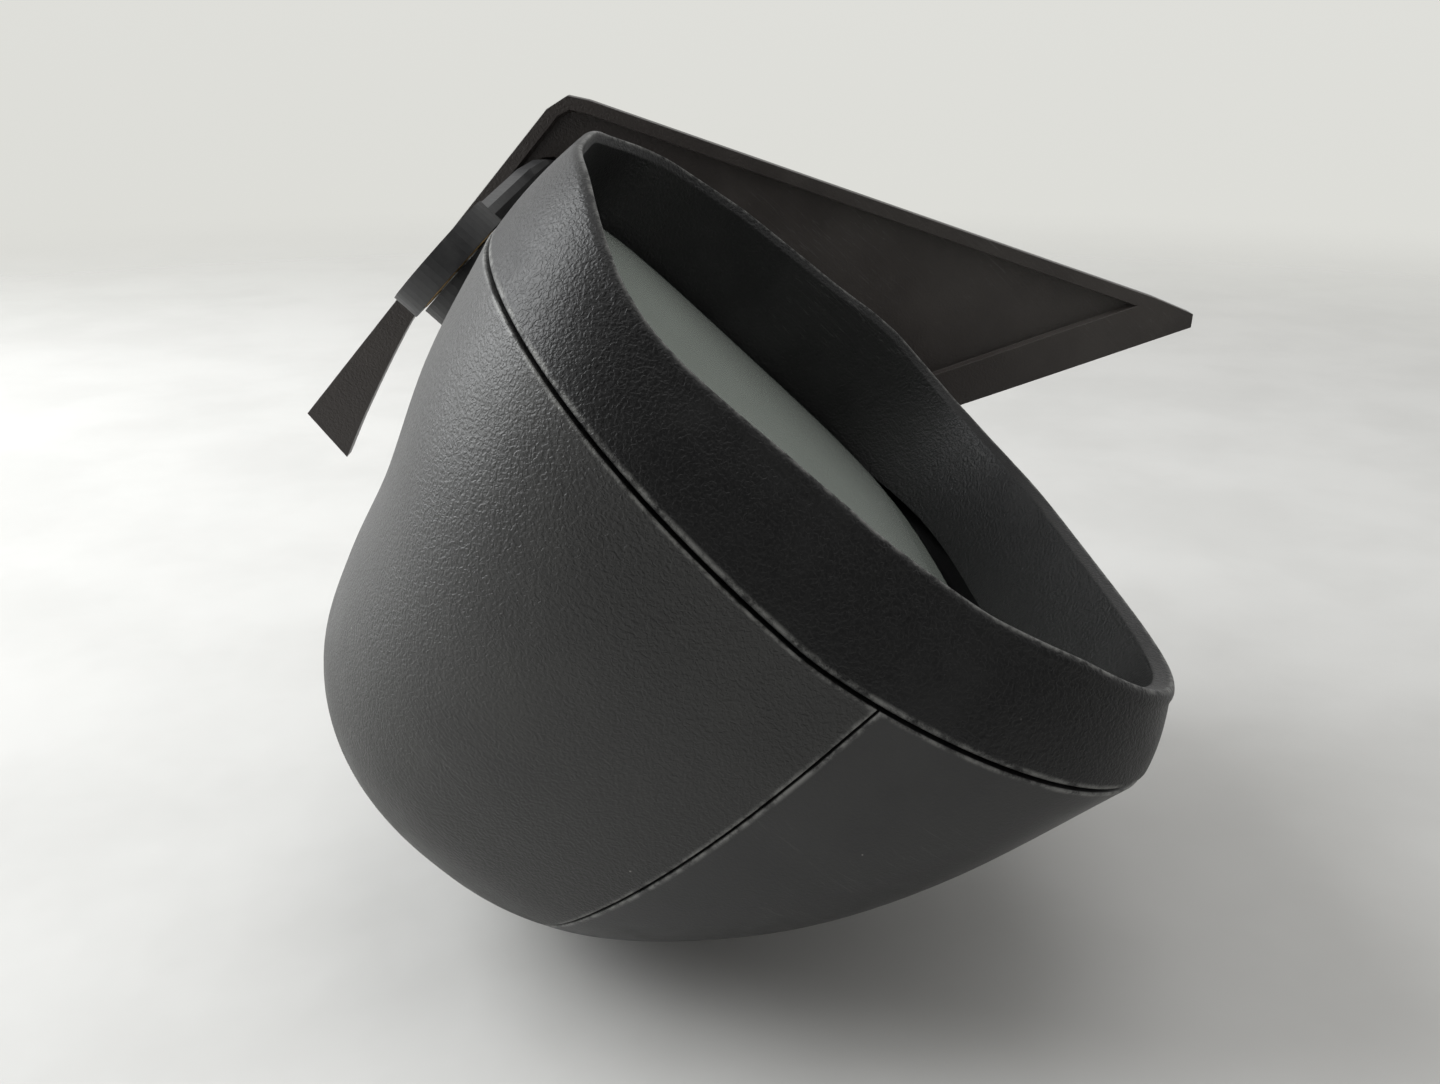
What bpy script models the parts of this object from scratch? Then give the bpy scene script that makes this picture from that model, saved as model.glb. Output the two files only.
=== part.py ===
"""Right-hand car door mirror: folding head, powered glass and sail-shaped mounting foot.

Frame: +X outboard from the door, +Y to the front of the car, +Z up.
The foot's flat back is the plane X = 0 and lies against the door.
"""
import math

import bmesh
import bpy
from mathutils import Matrix, Vector

MM = 0.001

# ---- driving sizes, millimetres -------------------------------------------
GAP = 0.3
WALL = 2.2
SEAM_GAP = 0.35
AROUND = 64

# One loop of the head: y, outboard x, inboard x, bottom z (outboard, inboard),
# top z (outboard, inboard), corner power, rearward sweep at the top and bottom.
OPENING = (-16.6, 176.0, 33.0, -48.8, -50.2, 76.0, 56.0, 4.2, 10.0, 6.0)
LIP = (-18.1, 178.5, 30.5, -51.3, -52.6, 80.0, 59.0, 4.2, 10.0, 6.0)
SEAM = (2.6, 184.0, 24.0, -52.0, -52.6, 87.0, 66.0, 3.6, 19.5, 6.5)
FORM = [
    (22.0, 182.5, 24.0, -46.6, -48.6, 79.5, 62.0, 3.3, 6.0, 3.0),
    (41.0, 177.0, 25.0, -38.9, -41.0, 71.5, 56.0, 3.1, 1.5, 0.0),
    (60.0, 167.5, 28.0, -34.0, -35.6, 62.0, 48.0, 2.8, 0.0, 0.0),
    (74.8, 156.5, 34.0, -28.6, -29.8, 52.5, 40.0, 2.5, 0.0, 0.0),
    (85.3, 140.5, 45.0, -19.4, -20.8, 41.0, 30.0, 2.3, 0.0, 0.0),
    (90.9, 116.0, 62.0, -3.4, -5.4, 26.0, 18.0, 2.1, 0.0, 0.0),
]
NOSE = (92.8, 89.0, 10.0)

# Parting line between the lower shell and the top cap, (y, z).
PARTING = [
    (-60.0, 31.4), (0.0, 31.4), (20.0, 30.6), (40.0, 30.3), (60.0, 30.2), (100.0, 30.2),
]
# How far the opening's outboard side bows forward, by its height from -1 to 1.
BOW = [
    (-1.0, 0.0), (-0.9, 2.4), (-0.75, 4.6), (-0.65, 5.2), (-0.55, 5.0), (-0.4, 3.9),
    (-0.26, 2.9), (-0.07, 2.2), (0.09, 2.0), (0.33, 1.8), (0.57, 0.0), (1.0, 0.0),
]
# How far its inboard side bows rearward, by height.
BOW_IN = [
    (-1.0, 0.0), (-0.97, 0.5), (-0.72, 4.1), (-0.36, 7.2), (0.02, 8.9), (0.3, 8.9),
    (0.44, 8.0), (0.6, 5.5), (0.79, 2.3), (0.91, 0.9), (1.0, 0.4),
]

# Fold axis, parallel to Z.
FOLD_X = 60.0
FOLD_Y = 21.0
TUBE_R = 5.6
BOSS_R = 11.0
FOOT_R = 13.2
FOOT_TOP = -53.4
FOOT_BOTTOM = -59.2

# Glass and its universal joint.
PIVOT = (104.0, 8.0, 6.0)
GLASS = (-4.5, 172.5, 36.5, -45.0, -46.4, 72.5, 52.8, 4.2, 0.0, 0.0)
GLASS_T = 2.0
JACK_REACH = 20.0

# Sail outline seen from outboard, (y, z), counter-clockwise from the rear foot.
SAIL = [
    (-9.5, -63.3), (84.0, -58.8), (86.0, -44.8), (74.0, -48.6), (53.0, -54.0),
    (40.0, -56.2), (34.0, -54.0), (31.0, -46.0), (29.0, -30.0), (26.0, -5.0),
    (19.0, 18.0), (8.0, 34.5), (-8.0, 46.0), (-26.0, 56.0), (-76.5, 82.5),
    (-79.0, 80.5), (-75.4, 71.0), (-17.6, -57.5), (-15.0, -61.8),
]
# Cast plate behind the sail and the sunk face of the moulded cover, (y, z).
PLATE = [
    (-6.5, -57.0), (26.0, -55.5), (25.0, -44.0), (22.8, -28.0), (19.8, -6.0), (13.5, 14.0),
    (3.6, 29.0), (-11.0, 39.6), (-28.5, 49.4), (-66.5, 69.0), (-12.5, -54.0),
]
SUNK_FACE = [
    (-10.0, -60.7), (27.0, -59.0), (28.6, -46.0), (26.4, -30.0), (23.4, -5.0), (16.6, 16.6),
    (6.5, 31.0), (-12.0, 38.6), (-30.2, 48.0), (-71.5, 69.6), (-15.0, -56.2), (-13.0, -59.6),
]
SAIL_BACK = 4.3
SAIL_FACE = 7.1
SAIL_RIM = 9.3
STUDS = [(-9.0, -30.0), (15.0, -22.0), (-44.0, 46.0)]
GROMMET = (-22.0, 20.0)

# Neck sections along X: x, y0, y1, z0, z1.
NECK = [
    (1.0, -3.0, 22.0, -54.5, -40.0),
    (4.2, -3.0, 22.0, -54.5, -41.0),
    (9.6, -1.0, 28.0, -58.0, -52.8),
    (15.0, 2.5, 31.0, -59.2, -53.4),
    (60.0, 9.0, 32.5, -59.2, -53.4),
]


# ---- small tools ----------------------------------------------------------
def clear_scene():
    for old in list(bpy.data.objects):
        bpy.data.objects.remove(old, do_unlink=True)


def collection(name):
    made = bpy.data.collections.new(name)
    bpy.context.scene.collection.children.link(made)
    return made


clear_scene()
PARTS = collection("door_mirror")
CUTTERS = collection("door_mirror_cutters")
AXES = {}
AXIS_AT = {}


def material(name, colour, rough, metal=0.0):
    made = bpy.data.materials.new(name)
    made.use_nodes = True
    shader = made.node_tree.nodes["Principled BSDF"]
    shader.inputs["Base Color"].default_value = (*colour, 1.0)
    shader.inputs["Roughness"].default_value = rough
    shader.inputs["Metallic"].default_value = metal
    return made


def finish_mesh(bm):
    bmesh.ops.remove_doubles(bm, verts=bm.verts, dist=1e-6)
    bmesh.ops.recalc_face_normals(bm, faces=bm.faces)


def make(name, bm, colour, rough, metal=0.0, axis=None, smooth=False):
    finish_mesh(bm)
    mesh = bpy.data.meshes.new(name)
    bm.to_mesh(mesh)
    bm.free()
    made = bpy.data.objects.new(name, mesh)
    PARTS.objects.link(made)
    mesh.materials.append(material(name + "_finish", colour, rough, metal))
    if axis:
        made.parent = AXES[axis]
        made.location = -AXIS_AT[axis]
    if smooth:
        for poly in mesh.polygons:
            poly.use_smooth = True
        mesh.set_sharp_from_angle(angle=math.radians(38))
    return made


def cutter(name, bm):
    finish_mesh(bm)
    mesh = bpy.data.meshes.new(name)
    bm.to_mesh(mesh)
    bm.free()
    made = bpy.data.objects.new(name, mesh)
    CUTTERS.objects.link(made)
    made.hide_render = True
    made.display_type = "WIRE"
    return made


def boolean(target, tool, kind="DIFFERENCE"):
    step = target.modifiers.new(kind.lower(), "BOOLEAN")
    step.operation = kind
    step.solver = "EXACT"
    step.object = tool


def axis_empty(name, at, parent=None):
    made = bpy.data.objects.new(name, None)
    PARTS.objects.link(made)
    where = Vector(at) * MM
    if parent:
        made.parent = AXES[parent]
        made.location = where - AXIS_AT[parent]
    else:
        made.location = where
    AXES[name] = made
    AXIS_AT[name] = where


def step_table(table, v):
    for (v0, b0), (v1, b1) in zip(table, table[1:]):
        if v <= v1:
            return b0 + (b1 - b0) * (v - v0) / (v1 - v0)
    return table[-1][1]


def ease(share):
    share = min(1.0, max(0.0, share))
    return share * share * (3 - 2 * share)


def bow_at(v, k):
    """Bow of the opening at height v: forward at its outboard side, rearward inboard."""
    return (step_table(BOW, v) * ease((k - 0.8) / 0.17)
            - step_table(BOW_IN, v) * ease((0.22 - k) / 0.17))


def loop_points(spec, count=AROUND, inset=0.0, dy=0.0, bow=0.0):
    """One loop of the head: a rounded four-sided outline that leans with its corners."""
    y, xo, xi, zbo, zbi, zto, zti, power, sweep_top, sweep_low = spec
    mid = (xo + xi) / 2
    half = (xo - xi) / 2 - inset
    points = []
    for i in range(count):
        turn = 2 * math.pi * i / count
        c = math.cos(turn)
        s = math.sin(turn)
        r = (abs(c) ** power + abs(s) ** power) ** (-1 / power)
        u = r * c
        v = r * s
        x = mid + u * half
        k = (x - xi) / (xo - xi)
        low = zbi + (zbo - zbi) * k + inset
        high = zti + (zto - zti) * k - inset
        z = (low + high) / 2 + v * (high - low) / 2
        sweep = sweep_top * v ** 1.5 if v > 0 else sweep_low * v * v * k
        push = bow * bow_at(max(-1.0, min(1.0, v)), k) if bow else 0.0
        points.append(Vector((x, y + dy - sweep + push, z)) * MM)
    return points


def bridge(bm, first, second):
    count = len(first)
    for i in range(count):
        j = (i + 1) % count
        bm.faces.new((first[i], first[j], second[j], second[i]))


def rings_to_bm(rings, closed=False, caps=True):
    bm = bmesh.new()
    rows = [[bm.verts.new(p) for p in ring] for ring in rings]
    for first, second in zip(rows, rows[1:]):
        bridge(bm, first, second)
    if closed:
        bridge(bm, rows[-1], rows[0])
    elif caps:
        bm.faces.new(rows[0])
        bm.faces.new(rows[-1])
    return bm


def slab(outline, x0, x1):
    """A flat outline in (y, z) made solid between two X planes."""
    low = [Vector((x0, y, z)) * MM for y, z in outline]
    high = [Vector((x1, y, z)) * MM for y, z in outline]
    return rings_to_bm([low, high])


def shrink(outline, amount):
    """Move every edge of a counter-clockwise (y, z) outline inward."""
    count = len(outline)
    made = []
    for i in range(count):
        a = Vector(outline[i - 1])
        b = Vector(outline[i])
        c = Vector(outline[(i + 1) % count])
        e1 = (b - a).normalized()
        e2 = (c - b).normalized()
        n1 = Vector((-e1.y, e1.x))
        n2 = Vector((-e2.y, e2.x))
        n = (n1 + n2).normalized()
        reach = amount / max(0.45, n.dot(n1))
        made.append(tuple(b + n * reach))
    return made


def along(axis):
    if axis == "X":
        return Matrix.Rotation(math.radians(90), 4, "Y")
    if axis == "Y":
        return Matrix.Rotation(math.radians(-90), 4, "X")
    return Matrix.Identity(4)


def turned(profile, axis, at, count=32):
    """A closed (radius, height) profile turned about an axis through a point.

    A radius of zero at both ends makes a solid piece, otherwise a ring.
    """
    bm = bmesh.new()
    rows = []
    for radius, height in profile:
        if radius < 1e-6:
            rows.append([bm.verts.new((0, 0, height * MM))])
            continue
        row = []
        for i in range(count):
            turn = 2 * math.pi * (i + 0.5) / count
            row.append(bm.verts.new((radius * MM * math.cos(turn), radius * MM * math.sin(turn),
                                     height * MM)))
        rows.append(row)
    pairs = list(zip(rows, rows[1:]))
    if len(rows[0]) > 1:
        pairs.append((rows[-1], rows[0]))
    for first, second in pairs:
        if len(first) == 1 and len(second) == 1:
            continue
        if len(first) == 1 or len(second) == 1:
            tip, row = (first[0], second) if len(first) == 1 else (second[0], first)
            for i in range(count):
                bm.faces.new((tip, row[i], row[(i + 1) % count]))
        else:
            bridge(bm, first, second)
    bm.transform(Matrix.Translation(Vector(at) * MM) @ along(axis))
    return bm


def rod(radius, h0, h1, axis, at, count=32, chamfer=0.0):
    profile = [(0, h0), (radius - chamfer, h0), (radius, h0 + chamfer), (radius, h1 - chamfer),
               (radius - chamfer, h1), (0, h1)]
    if chamfer == 0.0:
        profile = [(0, h0), (radius, h0), (radius, h1), (0, h1)]
    return turned(profile, axis, at, count)


def pipe(inner, outer, h0, h1, axis, at, count=32):
    return turned([(inner, h0), (outer, h0), (outer, h1), (inner, h1)], axis, at, count)


def block(lo, hi):
    bm = bmesh.new()
    size = [(b - a) * MM for a, b in zip(lo, hi)]
    mid = [(b + a) / 2 * MM for a, b in zip(lo, hi)]
    bmesh.ops.create_cube(bm, size=1.0, matrix=Matrix.Translation(mid) @ Matrix.Diagonal((*size, 1)))
    return bm


# ---- the head's housing ---------------------------------------------------
def housing_bm():
    """Whole housing bowl: outer skin, nose, inner skin and the open rear edge."""
    outer = [SEAM] + FORM
    step_in = [0.0, 0.2, 0.5, 1.0, 1.6, 2.2, 2.5]
    rings = [loop_points(spec, dy=SEAM_GAP if k == 0 else 0.0) for k, spec in enumerate(outer)]
    back = [loop_points(spec, inset=WALL, dy=SEAM_GAP if k == 0 else -step_in[k])
            for k, spec in enumerate(outer)]
    bm = bmesh.new()
    rows = [[bm.verts.new(p) for p in ring] for ring in rings]
    inner = [[bm.verts.new(p) for p in ring] for ring in back]
    for first, second in list(zip(rows, rows[1:])) + list(zip(inner, inner[1:])):
        bridge(bm, first, second)
    bridge(bm, rows[0], inner[0])
    for last, drop in ((rows[-1], 0.0), (inner[-1], WALL)):
        tip = bm.verts.new(Vector((NOSE[1], NOSE[0] - drop, NOSE[2])) * MM)
        for i in range(AROUND):
            bm.faces.new((tip, last[i], last[(i + 1) % AROUND]))
    return bm


def parting_cutter(name, lift):
    outline = [(y, z + lift) for y, z in PARTING] + [(100.0, 120.0), (-60.0, 120.0)]
    return cutter(name, slab(outline, 0.0, 220.0))


def lower_shell():
    made = make("lower_shell", housing_bm(), (0.035, 0.035, 0.036), 0.55, axis="fold_axis",
                smooth=True)
    boolean(made, parting_cutter("parting_lower_cutter", -0.3))
    hole = rod(BOSS_R + 0.8, -70.0, -34.0, "Z", (FOLD_X, FOLD_Y, 0.0), 48)
    boolean(made, cutter("boss_hole_cutter", hole))


def top_cap():
    made = make("top_cap", housing_bm(), (0.045, 0.045, 0.046), 0.35, axis="fold_axis", smooth=True)
    boolean(made, parting_cutter("parting_top_cutter", 0.3), "INTERSECT")


def bezel():
    """Frame round the glass: outer band, step that the shells sit over, recess wall."""
    rings = [
        loop_points(OPENING, bow=1.0),
        loop_points(LIP, inset=1.6, dy=-0.2, bow=1.0),
        loop_points(LIP, inset=0.3, dy=0.3, bow=1.0),
        loop_points(LIP, dy=1.8, bow=1.0),
        loop_points(SEAM, inset=0.25, dy=-SEAM_GAP - 1.0),
        loop_points(SEAM, inset=0.6, dy=-SEAM_GAP),
        loop_points(SEAM, inset=WALL + 0.4, dy=-SEAM_GAP),
        loop_points(SEAM, inset=WALL + 1.3, dy=2.0),
        loop_points(OPENING, inset=1.0, dy=21.0),
    ]
    made = make("bezel", rings_to_bm(rings, closed=True), (0.03, 0.03, 0.031), 0.6,
                axis="fold_axis", smooth=True)
    return made


# ---- the head's inside ----------------------------------------------------
def carrier():
    plate = [(62.0, -37.0), (144.0, -33.0), (153.0, -19.0), (154.0, 40.0), (140.0, 50.0),
             (66.0, 45.0), (62.0, 40.0), (62.0, -37.0)]
    low = [Vector((x, 24.3, z)) * MM for x, z in plate[:-1]]
    high = [Vector((x, 27.5, z)) * MM for x, z in plate[:-1]]
    made = make("carrier", rings_to_bm([low, high]), (0.02, 0.02, 0.02), 0.6, axis="fold_axis")
    for k, z in enumerate((-28.0, 34.0)):
        rib = block((74.0, 26.0, z), (150.0, 33.0, z + 3.0))
        boolean(made, cutter("rib_body_%d" % k, rib), "UNION")
    clear = rod(10.2, -60.0, 60.0, "Z", (FOLD_X, FOLD_Y, 0.0), 40)
    boolean(made, cutter("boss_clear_cutter", clear))
    boss = turned([(TUBE_R + GAP, -52.9), (BOSS_R, -52.9), (BOSS_R, -14.0), (9.2, -14.0),
                   (9.2, -47.0), (TUBE_R + GAP, -47.0)], "Z", (FOLD_X, FOLD_Y, 0.0), 40)
    boolean(made, cutter("boss_body", boss), "UNION")
    for k, (x, z) in enumerate(screw_places()):
        hole = rod(1.9, 20.0, 36.0, "Y", (x, 0.0, z), 16)
        boolean(made, cutter("carrier_hole_%d" % k, hole))
    window = block((87.0, 20.0, -9.0), (119.0, 40.0, 15.0))
    boolean(made, cutter("carrier_window_cutter", window))


def screw_places():
    return [(PIVOT[0] + 26.0 * math.cos(math.radians(a)), PIVOT[2] + 26.0 * math.sin(math.radians(a)))
            for a in (35.0, 145.0, 290.0)]


def adjuster_housing():
    """Cup that holds the two motors, with two lugs for the universal joint."""
    cup = turned([(0, 13.5), (29.0, 13.5), (30.0, 14.5), (30.0, 24.0), (28.2, 24.0), (28.2, 15.5),
                  (0, 15.5)], "Y", (PIVOT[0], 0.0, PIVOT[2]), 48)
    made = make("adjuster_housing", cup, (0.04, 0.04, 0.042), 0.5, axis="fold_axis")
    for side in (-1, 1):
        x = PIVOT[0] + side * 10.5
        lug = block((x - 1.4, 4.6, PIVOT[2] - 3.4), (x + 1.4, 14.0, PIVOT[2] + 3.4))
        boolean(made, cutter("adjuster_lug_%d" % (side + 1), lug), "UNION")
    bore = rod(2.1 + GAP, -20.0, 20.0, "X", PIVOT, 20)
    boolean(made, cutter("lug_bore_cutter", bore))
    for k, (x, z) in enumerate(jack_places()):
        boolean(made, cutter("jack_hole_%d" % k, rod(2.9, 8.0, 20.0, "Y", (x, 0.0, z), 20)))
    for k, (x, z) in enumerate(screw_places()):
        boolean(made, cutter("cup_hole_%d" % k, rod(1.9, 8.0, 20.0, "Y", (x, 0.0, z), 16)))


def jack_places():
    return [(PIVOT[0], PIVOT[2] - JACK_REACH), (PIVOT[0] - JACK_REACH, PIVOT[2])]


def motors():
    middle = (PIVOT[0] + 6.0, 20.0)
    for k, (x, z) in enumerate(((middle[0] + 3.0, PIVOT[2] + 12.0), (middle[0] + 3.0, PIVOT[2] - 10.0))):
        can = turned([(0, -11.0), (3.6, -11.0), (4.0, -10.6), (4.0, 9.0), (2.0, 9.0), (1.0, 9.2),
                      (1.0, 12.0), (0, 12.0)], "X", (x, middle[1], z), 24)
        make("motor_%d" % (k + 1), can, (0.55, 0.55, 0.56), 0.35, 0.9, axis="fold_axis", smooth=True)


def screws():
    for k, (x, z) in enumerate(screw_places()):
        body = turned([(0, 10.8), (2.6, 10.8), (3.2, 11.6), (3.2, 13.2), (1.6, 13.2), (1.6, 30.0),
                       (0.6, 31.5), (0, 31.5)], "Y", (x, 0.0, z), 20)
        made = make("adjuster_screw_%d" % (k + 1), body, (0.6, 0.58, 0.52), 0.35, 1.0,
                    axis="fold_axis")
        slot = block((x - 0.5, 10.0, z - 2.2), (x + 0.5, 11.8, z + 2.2))
        boolean(made, cutter("screw_slot_%d" % k, slot))


# ---- glass and its drive --------------------------------------------------
def plate_between(spec, inset, y0, y1, count=AROUND):
    low = loop_points(spec, count, inset=inset)
    high = [Vector((p.x, y1 * MM, p.z)) for p in low]
    low = [Vector((p.x, y0 * MM, p.z)) for p in low]
    return [low, high]


def mirror_glass():
    rings = plate_between(GLASS, 0.0, GLASS[0], GLASS[0] + GLASS_T)
    edge = plate_between(GLASS, 0.5, GLASS[0], GLASS[0] + GLASS_T)
    low = [Vector((p.x, GLASS[0] * MM, p.z)) for p in edge[0]]
    side = [Vector((p.x, (GLASS[0] + 0.5) * MM, p.z)) for p in rings[0]]
    make("mirror_glass", rings_to_bm([low, side, rings[1]]), (0.62, 0.68, 0.66), 0.03, 1.0,
         axis="side_tilt_axis")


def heater_pad():
    back = GLASS[0] + GLASS_T
    rings = plate_between(GLASS, 4.0, back + 0.3, back + 0.8, 48)
    make("heater_pad", rings_to_bm(rings), (0.25, 0.13, 0.05), 0.5, axis="side_tilt_axis")


def backing_plate():
    """Tray behind the glass with a raised edge, two lugs and two ball sockets."""
    y0 = GLASS[0] + GLASS_T + 1.1
    rings = plate_between(GLASS, 1.2, y0, y0 + 2.2)
    made = make("backing_plate", rings_to_bm(rings), (0.03, 0.03, 0.03), 0.55,
                axis="side_tilt_axis")
    top = y0 + 1.7
    for side in (-1, 1):
        z = PIVOT[2] + side * 10.5
        lug = block((PIVOT[0] - 3.4, top, z - 1.4), (PIVOT[0] + 3.4, 11.3, z + 1.4))
        boolean(made, cutter("backing_lug_%d" % (side + 1), lug), "UNION")
    boolean(made, cutter("backing_bore_cutter", rod(2.1 + GAP, -20.0, 20.0, "Z", PIVOT, 20)))
    for k, (x, z) in enumerate(jack_places()):
        socket = rod(5.4, top, 7.0, "Y", (x, 0.0, z), 24)
        boolean(made, cutter("socket_body_%d" % k, socket), "UNION")
        bore = rod(4.0, y0 + 2.2, 9.0, "Y", (x, 0.0, z), 24)
        boolean(made, cutter("socket_bore_%d" % k, bore))


def spider():
    """Four-pin cross of the universal joint."""
    x, y, z = PIVOT
    made = make("tilt_cross", block((x - 4.5, y - 3.0, z - 4.5), (x + 4.5, y + 3.0, z + 4.5)),
                (0.72, 0.7, 0.62), 0.45, axis="up_tilt_axis")
    boolean(made, cutter("cross_pin_x", rod(2.1, -12.5, 12.5, "X", PIVOT, 20)), "UNION")
    boolean(made, cutter("cross_pin_z", rod(2.1, -12.5, 12.5, "Z", PIVOT, 20)), "UNION")


def jacks():
    names = ("up_jack", "side_jack")
    for name, (x, z) in zip(names, jack_places()):
        ball = [(0, 2.5)]
        for a in (60, 30, 0, -30):
            ball.append((3.0 * math.cos(math.radians(a)), 5.5 - 3.0 * math.sin(math.radians(a))))
        ball += [(1.7, 8.2), (2.4, 9.6), (2.4, 21.0), (0, 21.0)]
        make(name, turned(ball, "Y", (x, 0.0, z), 20), (0.75, 0.74, 0.7), 0.4, axis=name + "_axis",
             smooth=True)


# ---- the foot -------------------------------------------------------------
def neck_rings(extra):
    rings = []
    for x, y0, y1, z0, z1 in NECK:
        c = 2.0
        y0, y1, z0, z1 = y0 - extra, y1 + extra, z0 - extra, z1 + extra
        loop = [(y0 + c, z0), (y1 - c, z0), (y1, z0 + c), (y1, z1 - c), (y1 - c, z1), (y0 + c, z1),
                (y0, z1 - c), (y0, z0 + c)]
        rings.append([Vector((x, y, z)) * MM for y, z in loop])
    return rings


def sail_base():
    """Cast foot: plate against the door, neck under the head and round pivot seat."""
    made = make("sail_base", slab(PLATE, 0.0, 4.0), (0.05, 0.05, 0.052), 0.5, 0.4)
    boolean(made, cutter("neck_body", rings_to_bm(neck_rings(0.0))), "UNION")
    seat = rod(FOOT_R, FOOT_BOTTOM, FOOT_TOP, "Z", (FOLD_X, FOLD_Y, 0.0), 48)
    boolean(made, cutter("seat_body", seat), "UNION")
    cut = turned([(0, FOOT_BOTTOM - 2), (9.4, FOOT_BOTTOM - 2), (9.4, -57.2), (TUBE_R + GAP, -57.2),
                  (TUBE_R + GAP, -55.9), (10.7, -55.9), (10.7, -50.0), (0, -50.0)], "Z",
                 (FOLD_X, FOLD_Y, 0.0), 40)
    boolean(made, cutter("seat_cutter", cut))
    for k, (y, z) in enumerate(STUDS):
        hole = turned([(0, -2.0), (3.3, -2.0), (3.3, 2.2), (5.4, 2.2), (5.4, 6.0), (0, 6.0)], "X",
                      (0.0, y, z), 24)
        boolean(made, cutter("stud_hole_%d" % k, hole))
    wire = rod(8.0, -2.0, 6.0, "X", (0.0, *GROMMET), 32)
    boolean(made, cutter("wire_hole_cutter", wire))


def sail_cover():
    """Moulded triangle over the foot: recessed face, raised border, opening for the neck."""
    made = make("sail_cover", slab(SAIL, SAIL_BACK, SAIL_RIM), (0.03, 0.03, 0.03), 0.5)
    face = slab(SUNK_FACE, SAIL_FACE, SAIL_RIM + 3.0)
    boolean(made, cutter("face_cutter", face))
    boolean(made, cutter("neck_hole_cutter", rings_to_bm(neck_rings(0.5))))


def sail_gasket():
    outer = shrink(PLATE, -4.2)
    inner = shrink(PLATE, -0.5)
    rings = [[Vector((x, y, z)) * MM for y, z in loop]
             for x, loop in ((0.0, outer), (3.9, outer), (3.9, inner), (0.0, inner))]
    make("sail_gasket", rings_to_bm(rings, closed=True), (0.015, 0.015, 0.015), 0.85)


def studs():
    for k, (y, z) in enumerate(STUDS):
        body = turned([(0, -20.0), (2.4, -20.0), (3.0, -19.2), (3.0, 2.5), (5.0, 2.5), (5.0, 3.9),
                       (0, 3.9)], "X", (0.0, y, z), 24)
        make("mount_stud_%d" % (k + 1), body, (0.6, 0.6, 0.6), 0.35, 1.0)


def grommet():
    body = turned([(4.0, -8.0), (5.6, -8.0), (6.6, -6.5), (7.6, -3.0), (7.6, 3.9), (4.0, 3.9)], "X",
                  (0.0, *GROMMET), 32)
    make("wire_grommet", body, (0.012, 0.012, 0.012), 0.8, smooth=True)


def pivot_parts():
    at = (FOLD_X, FOLD_Y, 0.0)
    tube = turned([(4.2, -59.2), (9.0, -59.2), (9.0, -57.5), (TUBE_R, -57.5), (TUBE_R, -16.0),
                   (4.2, -16.0)], "Z", at, 32)
    make("pivot_tube", tube, (0.55, 0.55, 0.55), 0.3, 1.0, smooth=True)
    make("detent_ring", pipe(TUBE_R + GAP, 10.4, -55.6, -53.2, "Z", at), (0.6, 0.55, 0.4), 0.4, 1.0)
    make("spring_washer", pipe(TUBE_R + GAP, 8.9, -22.0, -20.6, "Z", at), (0.6, 0.6, 0.6), 0.3, 1.0)
    make("retaining_clip", pipe(TUBE_R + GAP, 7.9, -20.2, -19.2, "Z", at), (0.5, 0.5, 0.5), 0.3, 1.0)


def fold_spring():
    """Compression spring that presses the head onto its detent ring."""
    turns = 6
    steps = 16
    sides = 8
    wire = 1.15
    rings = []
    rise = (23.2 - 2 * wire) / turns
    for i in range(turns * steps + 1):
        turn = 2 * math.pi * i / steps
        z = -46.4 + wire + rise * i / steps
        out = Vector((math.cos(turn), math.sin(turn), 0.0))
        mid = Vector((FOLD_X, FOLD_Y, z)) + out * 7.55
        rings.append([(mid + out * wire * math.cos(2 * math.pi * s / sides)
                       + Vector((0, 0, wire * math.sin(2 * math.pi * s / sides)))) * MM
                      for s in range(sides)])
    make("fold_spring", rings_to_bm(rings), (0.5, 0.5, 0.5), 0.3, 1.0, smooth=True)


# ---- build ----------------------------------------------------------------
axis_empty("fold_axis", (FOLD_X, FOLD_Y, FOOT_TOP))
axis_empty("up_tilt_axis", PIVOT, "fold_axis")
axis_empty("side_tilt_axis", PIVOT, "up_tilt_axis")
for jack_name, (jack_x, jack_z) in zip(("up_jack_axis", "side_jack_axis"), jack_places()):
    axis_empty(jack_name, (jack_x, 5.5, jack_z), "fold_axis")

sail_base()
sail_cover()
sail_gasket()
studs()
grommet()
pivot_parts()
fold_spring()
bezel()
lower_shell()
top_cap()
carrier()
adjuster_housing()
motors()
screws()
spider()
backing_plate()
heater_pad()
mirror_glass()
jacks()
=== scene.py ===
"""Looks of a right-hand car door mirror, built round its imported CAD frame.

Frame: +X outboard from the door, +Y to the front of the car, +Z up, metres.
"""
import math

import bmesh
import bpy
import numpy as np
from mathutils import Matrix, Vector

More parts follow.
